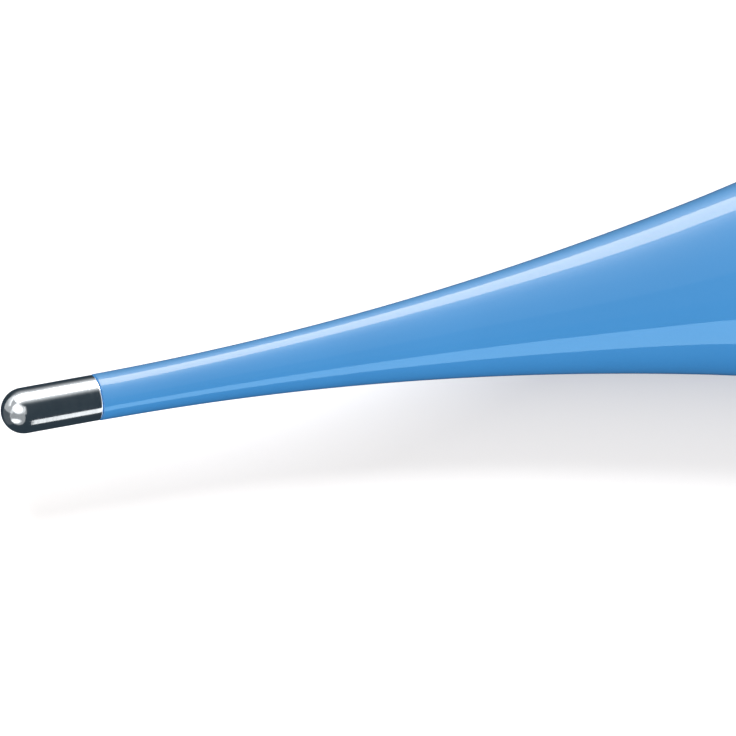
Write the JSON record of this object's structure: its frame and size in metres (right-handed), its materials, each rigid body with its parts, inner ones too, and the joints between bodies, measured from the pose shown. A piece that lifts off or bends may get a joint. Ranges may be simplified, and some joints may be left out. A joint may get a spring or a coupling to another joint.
{
  "type": "digital thermometer",
  "caption": "Blue stick thermometer with a slim neck, a metal sensor tip, a display window and power button on a wide flat body, and a pull-off battery cover.",
  "frame": {"origin": "bottom centre of the bounding box, on the surface that the thermometer lies on", "axes": "+X along the thermometer from the sensor tip to the battery cover, +Y across the wide face, +Z out of the face with the display and button"},
  "size_m": [0.138, 0.023, 0.0122],
  "materials": {
    "shell_blue": "high-gloss opaque sky-blue ABS",
    "cover_blue": "high-gloss opaque sky-blue ABS, as the shell",
    "tip_steel": "polished drawn stainless steel",
    "potting_resin": "heat-conducting potting resin",
    "thermistor_glass": "dark glass-coated bead",
    "wire_enamel": "red insulated fine wire",
    "window_clear": "clear polished plastic",
    "gasket_black": "black adhesive gasket",
    "button_white": "satin white plastic",
    "seal_rubber": "black silicone rubber",
    "tray_white": "white moulded plastic",
    "frame_white": "white moulded plastic",
    "plunger_white": "white moulded plastic",
    "board_green": "green solder-masked glass-fibre board",
    "chip_epoxy": "black epoxy dome over the bare chip",
    "resistor_black": "black glazed ceramic chip",
    "capacitor_tan": "tan ceramic chip",
    "lcd_reflector": "grey-green reflective film",
    "lcd_glass": "liquid-crystal cell glass, grey-green",
    "lcd_polariser": "polariser film",
    "zebra_elastomer": "layered conducting elastomer",
    "switch_black": "black moulded plastic",
    "buzzer_brass": "rolled brass disc",
    "buzzer_silver": "silvered piezo ceramic",
    "spring_nickel": "nickel-plated spring wire",
    "contact_nickel": "nickel-plated spring strip",
    "cell_nickel": "nickel-plated steel can"
  },
  "bodies": {
    "shell": {"body_shell": "shell_blue", "metal_tip_cap": "tip_steel", "tip_potting": "potting_resin", "thermistor_bead": "thermistor_glass", "display_window": "window_clear", "window_gasket": "gasket_black", "button_seal": "seal_rubber"},
    "button": {"power_button": "button_white"},
    "tray": {"electronics_tray": "tray_white", "circuit_board": "board_green", "controller_chip": "chip_epoxy", "reference_resistor": "resistor_black", "filter_capacitor": "capacitor_tan", "supply_capacitor": "capacitor_tan", "lcd_rear_polariser": "lcd_reflector", "lcd_glass": "lcd_glass", "lcd_front_polariser": "lcd_polariser", "lcd_frame": "frame_white", "zebra_strip_left": "zebra_elastomer", "zebra_strip_right": "zebra_elastomer", "switch_body": "switch_black", "buzzer_plate": "buzzer_brass", "buzzer_ceramic": "buzzer_silver", "buzzer_spring_centre": "spring_nickel", "buzzer_spring_edge": "spring_nickel", "button_cell": "cell_nickel", "battery_contact_negative": "contact_nickel", "battery_contact_positive": "contact_nickel", "sensor_lead_left": "wire_enamel", "sensor_lead_right": "wire_enamel"},
    "plunger": {"switch_plunger": "plunger_white"},
    "cover": {"battery_cover": "cover_blue", "cover_seal": "seal_rubber"}
  },
  "joints": [
    {"name": "button_press", "type": "slide", "parent": "shell", "child": "button", "axis": [0, 0, -1], "range_m": [0, 0.00035], "stiffness_N_per_m": 2000, "springref_m": -0.00035},
    {"name": "tray_slide", "type": "slide", "parent": "shell", "child": "tray", "axis": [1, 0, 0], "range_m": [0, 0.01], "deforming": ["sensor_lead_left", "sensor_lead_right"]},
    {"name": "plunger_press", "type": "slide", "parent": "tray", "child": "plunger", "axis": [0, 0, -1], "range_m": [0, 0.00035]},
    {"name": "cover_slide", "type": "slide", "parent": "tray", "child": "cover", "axis": [1, 0, 0], "range_m": [0, 0.025]}
  ],
  "couplings": [
    {"joint": "plunger_press", "follows": "button_press", "ratio": 1}
  ]
}
